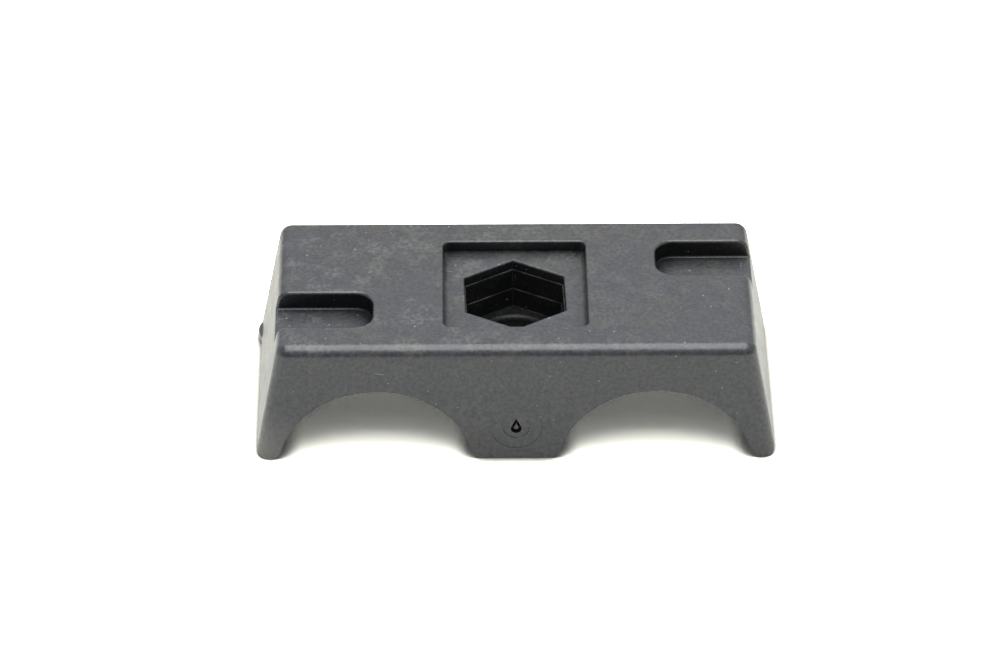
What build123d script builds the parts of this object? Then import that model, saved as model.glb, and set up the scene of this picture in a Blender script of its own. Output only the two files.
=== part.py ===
from build123d import *
from math import asin, cos, radians, sin, sqrt, tan
import os

# One half of a twin-tube clamp, moulded in one piece. It stands on its two end feet, with its
# saddles open downwards. X runs along its length, Y is the way the tubes lie, and +Z is up.
# The origin is on the standing plane, in the middle of the length and the width. Sizes are in
# millimetres and angles in degrees.

# Two saddles hold the tubes. Each tube's centre lies below the standing plane.
tube_diameter = 25.4
tube_clearance = 0.2
saddle_drop = 2.5
saddle_radius = tube_diameter / 2 + tube_clearance
half_chord = sqrt(saddle_radius**2 - saddle_drop**2)

# The bolt passes down through a round hole in the land between the saddles.
bolt_diameter = 8.0
bolt_clearance = 0.5
bolt_hole_rim_radius = 0.8
bolt_hole_radius = bolt_diameter / 2 + bolt_clearance

# The land stays off the standing plane, and a foot stands on it outside each saddle. The outer
# rounding of a foot is drawn a hair outside the end face, so the two meet at a faint corner.
land_wall = 0.75
land_relief = 0.25
land_edge_radius = 0.6
foot_thickness = 2.95
foot_edge_radius = 1.3
foot_blend = 0.05
rounded_share = 0.44

# The body is a block that narrows upwards, so that it leaves its mould.
roof_thickness = 6.5
foot_width = 30.2
end_draft = 10.4
side_draft = 2.7
corner_radius = 1.65
top_edge_radius = 1.6
body_height = saddle_radius - saddle_drop + roof_thickness
saddle_offset = bolt_hole_radius + land_wall + half_chord
foot_length = 2 * (saddle_offset + half_chord + foot_thickness)

# The six-sided pocket keeps the bolt head from turning. It narrows in two small steps. The mould's
# core pin, which also made the bolt hole, sat a little forward of the middle and slightly turned.
head_across_flats = 12.7
head_clearance = 0.1
pin_setting = 0.2
pin_turn = 1.4
pocket_depth = 7.0
pocket_step_depths = (1.4, 4.3)
pocket_step_inset = 0.15
pocket_rim_radius = 0.28
pocket_apothem = head_across_flats / 2 + head_clearance

# A shallow square recess surrounds the pocket. Its left and right walls slope more than the others,
# and they run into its floor in a hollow rounding.
recess_ledge = 1.85
recess_depth = 1.55
recess_side_draft = 9.0
recess_front_draft = 2.0
recess_corner_radius = 0.95
recess_hollow_radius = 0.85
recess_rim_radius = 0.28
recess_side = 2 * (pocket_apothem / cos(radians(30)) + recess_ledge)
recess_floor = body_height - recess_depth
pocket_floor = recess_floor - pocket_depth

# A slot runs into the top from each end, one on each side of the middle line.
slot_width = 7.3
slot_depth = 2.55
slot_reach = 12.1
slot_offset = 5.55
slot_corner_radius = 2.4
slot_floor_radius = 0.3
slot_rim_radius = 0.38

# The gate left a drop-shaped pit with a broken stub in it, in the middle of two shallow round dishes.
gate_height = 5.0
gate_outer_dish_radius = 3.35
gate_outer_dish_depth = 0.06
gate_inner_dish_radius = 1.8
gate_inner_dish_depth = 0.14
gate_pit_width = 1.4
gate_pit_length = 2.25
gate_pit_depth = 0.7
gate_stub_share = 0.66
gate_stub_height = 0.5
gate_stub_taper = 20.0

# A sliver of flash stands out of the left foot, near the back.
flash_setback = 3.8
flash_height = 0.45
flash_length = 4.2
flash_thickness = 0.9
flash_reach = 0.45
flash_root = 0.6

# Cutting tools reach this far past the faces that they open through.
overrun = 5.0

left, right = -1, 1
core_pin = Pos(0, -pin_setting, 0) * Rot(0, 0, pin_turn)


def half_length_at(height):
    """Half the body's length at a height above the standing plane."""
    return foot_length / 2 - height * tan(radians(end_draft))


def half_width_at(height):
    """Half the body's width at a height above the standing plane."""
    return foot_width / 2 - height * tan(radians(side_draft))


def trapezium(half_bottom, half_top, height):
    """An upright view of a block that stands on the origin."""
    return Polygon((-half_bottom, 0), (half_bottom, 0), (half_top, height), (-half_top, height), align=None)


def leaning_block(half_lengths, half_widths, height, upright_radius):
    """A block with four leaning faces, from its half sizes at the bottom and at the top."""
    block = extrude(Plane.XZ * trapezium(*half_lengths, height), foot_width, both=True)
    block &= extrude(Plane.YZ * trapezium(*half_widths, height), foot_length, both=True)
    return fillet(block.edges().filter_by(Plane.XY, reverse=True), upright_radius)


def drafted_block():
    """The outside of the body, with its top edge rounded."""
    half_lengths = half_length_at(0), half_length_at(body_height)
    half_widths = half_width_at(0), half_width_at(body_height)
    block = leaning_block(half_lengths, half_widths, body_height, corner_radius)
    return fillet(block.faces().sort_by(Axis.Z)[-1].edges(), top_edge_radius)


def saddle_circles():
    """The saddles in front view."""
    return Sketch() + [
        Pos(side * saddle_offset, -saddle_drop) * Circle(saddle_radius) for side in (left, right)
    ]


def low_vertices(view):
    """The corners of a front view that lie under the saddles' crowns, in groups from the lowest up."""
    crown = saddle_radius - saddle_drop
    return view.vertices().filter_by_position(Axis.Y, -crown, crown).group_by(Axis.Y)


def underside():
    """The space under the body: both saddles, the land's relief and the roundings of the feet."""
    half_top = half_length_at(body_height) + foot_blend
    view = trapezium(half_length_at(0) + foot_blend, half_top, body_height)
    view -= Rectangle(2 * saddle_offset, 2 * land_relief)
    view -= saddle_circles()
    view = fillet(low_vertices(view)[1], land_edge_radius)
    view = fillet(low_vertices(view)[0], min(foot_edge_radius, foot_thickness * rounded_share))
    rounding_top = low_vertices(view)[-1][0].Y
    strip_height = rounding_top + saddle_drop + saddle_radius
    strip = Rectangle(foot_length + 2 * overrun, strip_height, align=(Align.CENTER, Align.MAX))
    space = Pos(0, rounding_top) * strip - view + saddle_circles()
    return extrude(Plane.XZ * space, foot_width, both=True)


def head_recess():
    """The square recess round the pocket, narrower at its floor and hollow along its two sides."""
    half_mouth = recess_side / 2
    half_length = half_mouth - recess_depth * tan(radians(recess_side_draft))
    half_width = half_mouth - recess_depth * tan(radians(recess_front_draft))
    recess = leaning_block(
        (half_length, half_mouth), (half_width, half_mouth), recess_depth, recess_corner_radius
    )
    view = trapezium(half_length, half_mouth, recess_depth)
    view = fillet(view.vertices().group_by(Axis.Y)[0], recess_hollow_radius)
    recess &= extrude(Plane.XZ * view, recess_side, both=True)
    return Pos(0, 0, recess_floor) * recess


def head_pocket():
    """The six-sided pocket: two flats face the ends, and each deeper level is a little narrower."""
    pocket = Part()
    for level, depth in enumerate((*pocket_step_depths, pocket_depth)):
        apothem = pocket_apothem - level * pocket_step_inset
        hexagon = RegularPolygon(apothem, 6, major_radius=False, rotation=30)
        pocket += extrude(Pos(0, 0, recess_floor) * hexagon, -depth)
    return core_pin * pocket


def bolt_hole():
    """The round hole from the pocket's floor down through the land."""
    return core_pin * extrude(Pos(0, 0, pocket_floor) * Circle(bolt_hole_radius), -pocket_floor)


def end_slot(side):
    """An open-ended slot in the top: behind the middle line at the right, in front of it at the left."""
    tip = half_length_at(body_height) - slot_reach
    outline = Rectangle(foot_length / 2 + overrun - tip, slot_width, align=(Align.MIN, Align.CENTER))
    outline = fillet(outline.vertices().group_by(Axis.X)[0], slot_corner_radius)
    slot = extrude(outline, slot_depth + overrun)
    slot = fillet(slot.faces().sort_by(Axis.Z)[0].edges(), slot_floor_radius)
    slot = Pos(tip, slot_offset, body_height - slot_depth) * slot
    return slot if side == right else Rot(0, 0, 180) * slot


def cut_with_rim(body, tool, height, rim_radius):
    """Cut the tool out of the body, and round the new edges that lie at the given height."""
    cut = body - tool
    rim = new_edges(body, combined=cut).filter_by_position(Axis.Z, height, height)
    return fillet(rim, rim_radius)


def front_face_plane(height):
    """The plane of the leaning front face, facing outwards from the middle line at a height."""
    face = Plane.XZ.rotated((-side_draft, 0, 0))
    return Plane(origin=(0, -half_width_at(height), height), x_dir=face.x_dir, z_dir=face.z_dir)


def drop(width, length):
    """A round that runs up into a point, with its middle on the origin."""
    radius = width / 2
    point_height = length - radius
    touch = asin(radius / point_height)
    half_base = radius * cos(touch)
    base_height = radius * sin(touch)
    point = Polygon((-half_base, base_height), (half_base, base_height), (0, point_height), align=None)
    return Pos(0, radius - length / 2) * (Circle(radius) + point)


def gate_scar():
    """The scar of the gate: two shallow dishes, and a pit round the broken stub."""
    scar = extrude(Circle(gate_outer_dish_radius), gate_outer_dish_depth, both=True)
    scar += extrude(Circle(gate_inner_dish_radius), gate_inner_dish_depth, both=True)
    scar += extrude(drop(gate_pit_width, gate_pit_length), gate_pit_depth, both=True)
    stub_foot = drop(gate_stub_share * gate_pit_width, gate_stub_share * gate_pit_length)
    scar -= Pos(0, 0, -gate_pit_depth) * extrude(stub_foot, gate_stub_height, taper=gate_stub_taper)
    return front_face_plane(gate_height) * scar


def flash():
    """A thin sliver at the foot of the left end face, with its root inside the foot."""
    outline = Ellipse(flash_reach + flash_root, flash_length / 2)
    middle = flash_root - half_length_at(foot_edge_radius)
    place = Pos(middle, half_width_at(0) - flash_setback, flash_height)
    return extrude(place * outline, flash_thickness)


def clamp_half():
    """The whole moulding."""
    body = drafted_block() - underside()
    body = cut_with_rim(body, head_recess(), body_height, recess_rim_radius)
    for side in (left, right):
        body = cut_with_rim(body, end_slot(side), body_height, slot_rim_radius)
    body = cut_with_rim(body, head_pocket(), recess_floor, pocket_rim_radius)
    body = cut_with_rim(body, bolt_hole(), pocket_floor, bolt_hole_rim_radius)
    return body - gate_scar() + flash()


os.makedirs("parts", exist_ok=True)
export_step(clamp_half(), "parts/clamp_half.step")
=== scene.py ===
from math import degrees, radians

import bpy
from mathutils import Matrix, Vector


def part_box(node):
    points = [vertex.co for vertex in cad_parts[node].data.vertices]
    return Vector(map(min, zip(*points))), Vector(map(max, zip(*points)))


# Lengths are in metres, but for the relief. The clamp half itself comes from the frame. This script
# gives it its worn, dusty plastic, and adds the table, the studio's light and the camera.

mm = 0.001

# The plastic's own colour drifts from warm to cool, with darker blotches and flecks in it. The drift
# is how much cooler it is for each metre towards the front.
warm_grey = (0.0595, 0.0600, 0.0565)
cool_grey = (0.0515, 0.0550, 0.0630)
hue_drift = 7.0
dark_share = 0.20
cloud_size = 7 * mm
blotch_size = 2.4 * mm
fleck_size = 0.5 * mm

# A noise lies mostly between these two values. Its detail is how many finer layers it has, and its
# ruggedness is how strong each of them is against the one before.
noise_span = (0.38, 0.62)
soft_detail = 2.0
usual_detail = 3.0
fine_detail = 4.0
usual_ruggedness = 0.55
film_ruggedness = 0.62

# A thin film of dust lies on what faces up. It is thicker towards the left end, and thins out from
# the first place to the second.
film_grey = (0.150, 0.154, 0.147)
film_share = 0.40
thin_film_share = film_share / 3
film_size = 3.2 * mm
film_span = (0.46, 0.66)
film_between_flecks = 0.25
film_on_sides = 0.3
facing_up_span = (0.3, 0.9)
dusty_side = (-6 * mm, 22 * mm)

# The left foot is paler, more and more from the first place to the second.
pale_foot_share = 0.9
pale_foot_side = (-27 * mm, -32 * mm)
pale_foot_height = (9 * mm, 1 * mm)

# Cavities get painted shade: they are dark and dull. The painted shade begins at the first share of
# open air, and is darkest at the second.
cavity_shade_share = 0.80
cavity_shade_reach = 14 * mm
cavity_shade_openness = (0.80, 0.50)
cavity_shade_gloss = 0.25

# Edges are worn pale, more in some blotches than in others. The surface's own direction is set
# against its mean direction within the reach. An edge begins at the first agreement of the two, and
# is worn most at the second.
wear_grey = (0.105, 0.105, 0.103)
wear_shares = (0.15, 0.8)
worn_span = (0.40, 0.62)
edge_wear_reach = 0.22 * mm
edge_agreement = (0.985, 0.86)

# Dust specks, fine scratches and moulding pits. The share is how many of the cells hold one. Round
# spots vary between two shares of their radius, and the soft rim takes a part of it.
dust_grey = (0.34, 0.34, 0.32)
dust_shares = (0.2, 0.75)
dusty_span = (0.35, 0.6)
speck_spacing = 1.3 * mm
speck_radius = 0.13 * mm
speck_share = 0.7
scratch_spacing = 5.0 * mm
scratch_length = 1.6 * mm
scratch_width = 0.07 * mm
scratch_share = 0.5
scratch_paleness = 0.5
pit_spacing = 1.5 * mm
pit_radius = 0.12 * mm
pit_share = 0.30
spot_sizes = (0.35, 1.3)
spot_rim = 0.5

# The skin is satin, smoother in some blotches and glossier in some flecks than in others.
smoothest = 0.27
roughest = 0.38
rough_span = (0.35, 0.65)
dullest = 0.46
glossiest = 0.59
gloss_span = (0.36, 0.64)

# The relief of the skin, with its heights in millimetres: slow waves and a fine grain all over.
wave_size = 1.8 * mm
grain_size = 0.5 * mm
wave_height = 0.045
grain_height = 0.011
speck_height = 0.030
pit_depth = 0.040
scratch_depth = 0.015

# The camera looks at the front from above, through a long lens. Angles are in degrees.
camera_elevation = 36.42
camera_turn = 0.78
camera_roll = -0.19
camera_distance = 668.05 * mm
camera_left = 1.894 * mm
camera_up = 7.105 * mm
lens_length = 183.6
sensor_width = 36.0
nearest_seen = 10 * mm

# How many rays feel for edges, and for open air.
edge_samples = 6
air_samples = 8

# One soft lamp hangs overhead.
lamp_height = 1.1
lamp_setback = -0.07
lamp_size = (0.75, 1.20)
lamp_power = 16.2

# The table lights the part with one shade, and has its own for the camera and in the part's gloss.
# It darkens close under the part, from the second share of open air down to the first.
table_half = 3.0
table_shade = (0.62, 0.62, 0.61)
table_shown = (2.3, 2.3, 2.08)
table_mirrored = (1.09, 1.09, 1.00)
table_glow = 0.05
contact_reach = 3.5 * mm
contact_shade = 0.08
contact_openness = (0.50, 0.88)

# The studio is an arc over the table. Each pair is an angle, from the front level up over the top to
# the back level, and how bright the studio is there.
studio_arc = (
    (0, 0.01), (30, 0.02), (40, 0.25), (50, 0.8), (60, 1.0), (76, 0.3), (104, 0.3), (120, 0.7),
    (138, 1.4), (154, 0.7), (180, 0.15)
)


class Shader:
    """A node tree, with short words for the nodes that this script uses."""

    def __init__(self, tree):
        self.tree = tree
        tree.nodes.clear()

    def node(self, kind, *values, **settings):
        """A new node, with its first inputs fed and its settings made."""
        node = self.tree.nodes.new("ShaderNode" + kind)
        for name, setting in settings.items():
            setattr(node, name, setting)
        for socket, value in zip(node.inputs, values):
            self.feed(socket, value)
        return node

    def feed(self, socket, value):
        """Joins another node's output to a socket, or sets the socket's own value."""
        if isinstance(value, bpy.types.NodeSocket):
            self.tree.links.new(value, socket)
        elif value is not None:
            socket.default_value = value

    def maths(self, operation, *values):
        """One sum, product or other step on plain numbers."""
        return self.node("Math", *values, operation=operation).outputs[0]

    def times(self, *values):
        """The product of all the values."""
        product = values[0]
        for value in values[1:]:
            product = self.maths("MULTIPLY", product, value)
        return product

    def vector_maths(self, operation, *values):
        """The node for one step on vectors."""
        return self.node("VectorMath", *values, operation=operation)

    def passage(self, value, start, end, low=0.0, high=1.0):
        """Goes smoothly from low to high, as value goes from start to end."""
        node = self.node("MapRange", value, start, end, low, high, interpolation_type="SMOOTHSTEP")
        return node.outputs[0]

    def blend(self, share, first, second):
        """A mix of two colours, from the first at share 0 to the second at share 1."""
        node = self.node("MixRGB", share)
        for socket, colour in zip(node.inputs[1:], (first, second)):
            self.feed(socket, (*colour, 1) if isinstance(colour, tuple) else colour)
        return node.outputs[0]

    def noise(self, place, size, detail=usual_detail, ruggedness=usual_ruggedness):
        """Soft lumps about one size across, from 0 to 1."""
        node = self.node("TexNoise")
        self.feed(node.inputs["Vector"], place)
        self.feed(node.inputs["Scale"], 1 / size)
        self.feed(node.inputs["Detail"], detail)
        self.feed(node.inputs["Roughness"], ruggedness)
        return node.outputs[0]

    def cells(self, place, spacing):
        """The node that parts space into cells, each with a middle and a colour by chance."""
        node = self.node("TexVoronoi")
        self.feed(node.inputs["Vector"], place)
        self.feed(node.inputs["Scale"], 1 / spacing)
        return node

    def spots(self, place, spacing, radius, chosen):
        """A mask of round spots of mixed sizes, one in each chosen cell."""
        cells = self.cells(place, spacing)
        chance = self.node("SeparateColor", cells.outputs["Color"])
        smallest, largest = (share * radius for share in spot_sizes)
        reach = self.passage(chance.outputs[1], 0.0, 1.0, smallest, largest)
        distance = self.times(cells.outputs["Distance"], spacing)
        inside = self.maths("SUBTRACT", 1.0, self.maths("DIVIDE", distance, reach))
        shown = self.maths("LESS_THAN", chance.outputs[0], chosen)
        return self.times(self.passage(inside, 0.0, spot_rim), shown)

    def scratches(self, place, spacing, length, width, chosen):
        """A mask of short straight lines, each where the surface cuts a thin disc set at random.

        A line fades towards its sides and its ends.
        """
        cells = self.cells(place, spacing)
        chance = self.node("SeparateColor", cells.outputs["Color"])
        offset = self.vector_maths("SUBTRACT", place, cells.outputs["Position"]).outputs[0]
        facing = self.vector_maths("SUBTRACT", cells.outputs["Color"], (0.5, 0.5, 0.5)).outputs[0]
        facing = self.vector_maths("NORMALIZE", facing).outputs[0]
        across = self.vector_maths("DOT_PRODUCT", offset, facing).outputs["Value"]
        line = self.passage(self.maths("ABSOLUTE", across), width / 2, width / 5)
        distance = self.times(cells.outputs["Distance"], spacing)
        stretch = self.passage(distance, length / 2, length / 4)
        shown = self.maths("LESS_THAN", chance.outputs[1], chosen)
        return self.times(line, stretch, shown)

    def sharp_edges(self, reach):
        """A mask of the places within reach of a sharp edge."""
        rounded = self.node("Bevel", reach, samples=edge_samples).outputs[0]
        facing = self.node("NewGeometry").outputs["Normal"]
        agreement = self.vector_maths("DOT_PRODUCT", rounded, facing).outputs["Value"]
        return self.passage(agreement, *edge_agreement)

    def open_air(self, reach, own_shape_only):
        """How open the surface is to the air within reach, from 0 deep in a corner to 1."""
        node = self.node("AmbientOcclusion", only_local=own_shape_only, samples=air_samples)
        self.feed(node.inputs["Distance"], reach)
        return node.outputs["AO"]


class Plastic:
    """Dark grey plastic with a satin skin: cloudy, flecked, dusty, paler at the left foot, with
    painted shade in cavities, and a little wavy.
    """

    def __init__(self):
        self.material = bpy.data.materials.new("moulded_plastic")
        self.material.use_nodes = True
        shader = Shader(self.material.node_tree)
        place = shader.node("TexCoord").outputs["Object"]
        self.shader = shader
        self.place = place
        self.clouds = shader.noise(place, cloud_size)
        self.blotches = shader.noise(place, blotch_size, fine_detail)
        self.flecks = shader.noise(place, fleck_size, soft_detail)
        self.mottle = shader.times(shader.maths("ADD", self.blotches, self.flecks), 0.5)
        self.specks = shader.spots(place, speck_spacing, speck_radius, speck_share)
        self.pits = shader.spots(place, pit_spacing, pit_radius, pit_share)
        self.scratches = shader.scratches(
            place, scratch_spacing, scratch_length, scratch_width, scratch_share
        )
        self.openness = shader.open_air(cavity_shade_reach, own_shape_only=True)

        skin = shader.node("BsdfPrincipled")
        shader.feed(skin.inputs["Base Color"], self.colour())
        shader.feed(skin.inputs["Roughness"], self.roughness())
        shader.feed(skin.inputs["Specular IOR Level"], self.gloss())
        shader.feed(skin.inputs["Normal"], self.relief())
        shader.node("OutputMaterial", skin.outputs[0])

    def own_colour(self):
        """The plastic's own greys, before any dust and wear."""
        shader = self.shader
        backwards = shader.node("SeparateXYZ", self.place).outputs[1]
        hue = shader.maths("SUBTRACT", self.clouds, shader.times(backwards, hue_drift))
        colour = shader.blend(shader.passage(hue, *noise_span), warm_grey, cool_grey)
        darker = tuple(channel * (1 - dark_share) for channel in cool_grey)
        return shader.blend(shader.passage(self.mottle, *reversed(noise_span)), colour, darker)

    def film(self):
        """The mask of the dust film and of the paler left foot."""
        shader = self.shader
        along, _, up = shader.node("SeparateXYZ", self.place).outputs
        facing_up = shader.node("SeparateXYZ", shader.node("NewGeometry").outputs["Normal"]).outputs[2]
        smears = shader.noise(self.place, film_size, fine_detail, film_ruggedness)
        film = shader.times(
            shader.passage(smears, *film_span),
            shader.passage(self.flecks, *noise_span, film_between_flecks, 1.0),
            shader.passage(along, *dusty_side, film_share, thin_film_share),
            shader.passage(facing_up, *facing_up_span, film_on_sides, 1.0),
        )
        pale_foot = shader.times(
            shader.passage(along, *pale_foot_side), shader.passage(up, *pale_foot_height), pale_foot_share
        )
        return shader.maths("ADD", film, pale_foot)

    def colour(self):
        """The greys, with the dust film and paler left foot, painted shade in cavities, wear, dust
        specks and scratches over them in turn.
        """
        shader = self.shader
        colour = shader.blend(self.film(), self.own_colour(), film_grey)
        # Painted shade: the colour is darkened towards black in cavities, the less open air they have.
        cavity_shade = shader.passage(self.openness, *cavity_shade_openness, 0.0, cavity_shade_share)
        colour = shader.blend(cavity_shade, colour, (0, 0, 0))
        wear = shader.passage(self.blotches, *worn_span, *wear_shares)
        wear = shader.times(shader.sharp_edges(edge_wear_reach), wear)
        colour = shader.blend(wear, colour, wear_grey)
        dust = shader.times(self.specks, shader.passage(self.clouds, *dusty_span, *dust_shares))
        colour = shader.blend(dust, colour, dust_grey)
        return shader.blend(shader.times(self.scratches, scratch_paleness), colour, dust_grey)

    def roughness(self):
        """How rough the skin is: its satin varies with the mottle."""
        return self.shader.passage(self.mottle, *rough_span, smoothest, roughest)

    def gloss(self):
        """How much the skin mirrors: more in some flecks, and less in cavities, where the dimmed gloss
        is painted shade.
        """
        shader = self.shader
        gloss = shader.passage(self.flecks, *gloss_span, dullest, glossiest)
        # Painted shade: the gloss is dimmed in cavities, the less open air they have.
        return shader.times(gloss, shader.passage(self.openness, *cavity_shade_openness, 1.0, cavity_shade_gloss))

    def relief(self):
        """The bent direction of the surface, from all that stands up from it or is cut into it."""
        shader = self.shader
        relief = shader.times(shader.noise(self.place, wave_size), wave_height)
        for mask, height in (
            (shader.noise(self.place, grain_size, soft_detail), grain_height),
            (self.specks, speck_height),
            (self.pits, -pit_depth),
            (self.scratches, -scratch_depth),
        ):
            relief = shader.maths("ADD", relief, shader.times(mask, height))
        bump = shader.node("Bump")
        shader.feed(bump.inputs["Distance"], mm)
        shader.feed(bump.inputs["Height"], relief)
        return bump.outputs[0]


def flat_mesh(name, corners):
    """A mesh object with one face."""
    mesh = bpy.data.meshes.new(name)
    mesh.from_pydata(corners, [], [range(len(corners))])
    thing = bpy.data.objects.new(name, mesh)
    bpy.context.scene.collection.objects.link(thing)
    return thing


def white_table():
    """Plain white to the camera, but for the part's shadow and the shade close under it."""
    material = bpy.data.materials.new("white_table")
    material.use_nodes = True
    shader = Shader(material.node_tree)
    plain = shader.node("BsdfDiffuse", (*table_shade, 1)).outputs[0]
    openness = shader.open_air(contact_reach, own_shape_only=False)
    darkest = tuple(contact_shade * channel for channel in table_shown)
    shown = shader.blend(shader.passage(openness, *contact_openness), darkest, table_shown)
    shown = shader.node("BsdfDiffuse", shown).outputs[0]
    glow = shader.node("Emission", (1, 1, 1, 1), table_glow).outputs[0]
    shown = shader.node("AddShader", shown, glow).outputs[0]
    mirrored = shader.node("BsdfDiffuse", (*table_mirrored, 1)).outputs[0]
    path = shader.node("LightPath").outputs
    in_mirror = shader.maths("MAXIMUM", path["Is Glossy Ray"], path["Is Transmission Ray"])
    surface = shader.node("MixShader", in_mirror, plain, mirrored).outputs[0]
    surface = shader.node("MixShader", path["Is Camera Ray"], surface, shown).outputs[0]
    shader.node("OutputMaterial", surface)
    return material


def table(height):
    """A wide table top for the part to stand on."""
    signs = ((-1, -1), (1, -1), (1, 1), (-1, 1))
    corners = [(table_half * side, table_half * end, height) for side, end in signs]
    top = flat_mesh("table_top", corners)
    top.data.materials.append(white_table())


def studio():
    """The white room, dark towards the front, which the camera sees as plain white."""
    world = bpy.data.worlds.new("studio")
    bpy.context.scene.world = world
    world.use_nodes = True
    shader = Shader(world.node_tree)
    direction = shader.node("SeparateXYZ", shader.node("TexCoord").outputs["Generated"])
    back, up = direction.outputs[1:]
    front = shader.times(back, -1.0)
    angle = shader.times(shader.maths("ARCTAN2", up, front), degrees(1))
    brightness = studio_arc[0][1]
    for (start, low), (end, high) in zip(studio_arc, studio_arc[1:]):
        step = shader.passage(angle, float(start), float(end), 0.0, high - low)
        brightness = shader.maths("ADD", brightness, step)
    brightness = shader.maths("MAXIMUM", brightness, shader.node("LightPath").outputs["Is Camera Ray"])
    background = shader.node("Background", (1, 1, 1, 1), brightness)
    shader.node("OutputWorld", background.outputs[0])


def overhead_lamp():
    """A long soft box that hangs over the table."""
    lamp = bpy.data.lights.new("soft_box", "AREA")
    lamp.shape = "RECTANGLE"
    lamp.size, lamp.size_y = lamp_size
    lamp.energy = lamp_power
    holder = bpy.data.objects.new("soft_box", lamp)
    holder.location = (0, lamp_setback, lamp_height)
    bpy.context.scene.collection.objects.link(holder)


def camera():
    """The camera, aimed first and then backed away and set off along its own axes."""
    lens = bpy.data.cameras.new("camera")
    lens.lens = lens_length
    lens.sensor_width = sensor_width
    lens.clip_start = nearest_seen
    holder = bpy.data.objects.new("camera", lens)
    turn = Matrix.Rotation(radians(-camera_turn), 4, "Z")
    tilt = Matrix.Rotation(radians(90 - camera_elevation), 4, "X")
    roll = Matrix.Rotation(radians(-camera_roll), 4, "Z")
    away = Matrix.Translation((-camera_left, camera_up, camera_distance))
    holder.matrix_world = turn @ tilt @ roll @ away
    bpy.context.scene.collection.objects.link(holder)
    bpy.context.scene.camera = holder


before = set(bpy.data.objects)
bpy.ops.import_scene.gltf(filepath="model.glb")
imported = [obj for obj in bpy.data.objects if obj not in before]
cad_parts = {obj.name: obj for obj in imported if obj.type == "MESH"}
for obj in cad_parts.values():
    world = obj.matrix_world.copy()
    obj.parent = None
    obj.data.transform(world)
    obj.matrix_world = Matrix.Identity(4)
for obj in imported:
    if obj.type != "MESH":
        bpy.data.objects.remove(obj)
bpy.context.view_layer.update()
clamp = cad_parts["clamp_half"]
clamp.data.materials.clear()
clamp.data.materials.append(Plastic().material)
table(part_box("clamp_half")[0].z)
studio()
overhead_lamp()
camera()
bpy.context.scene.view_settings.view_transform = "Standard"
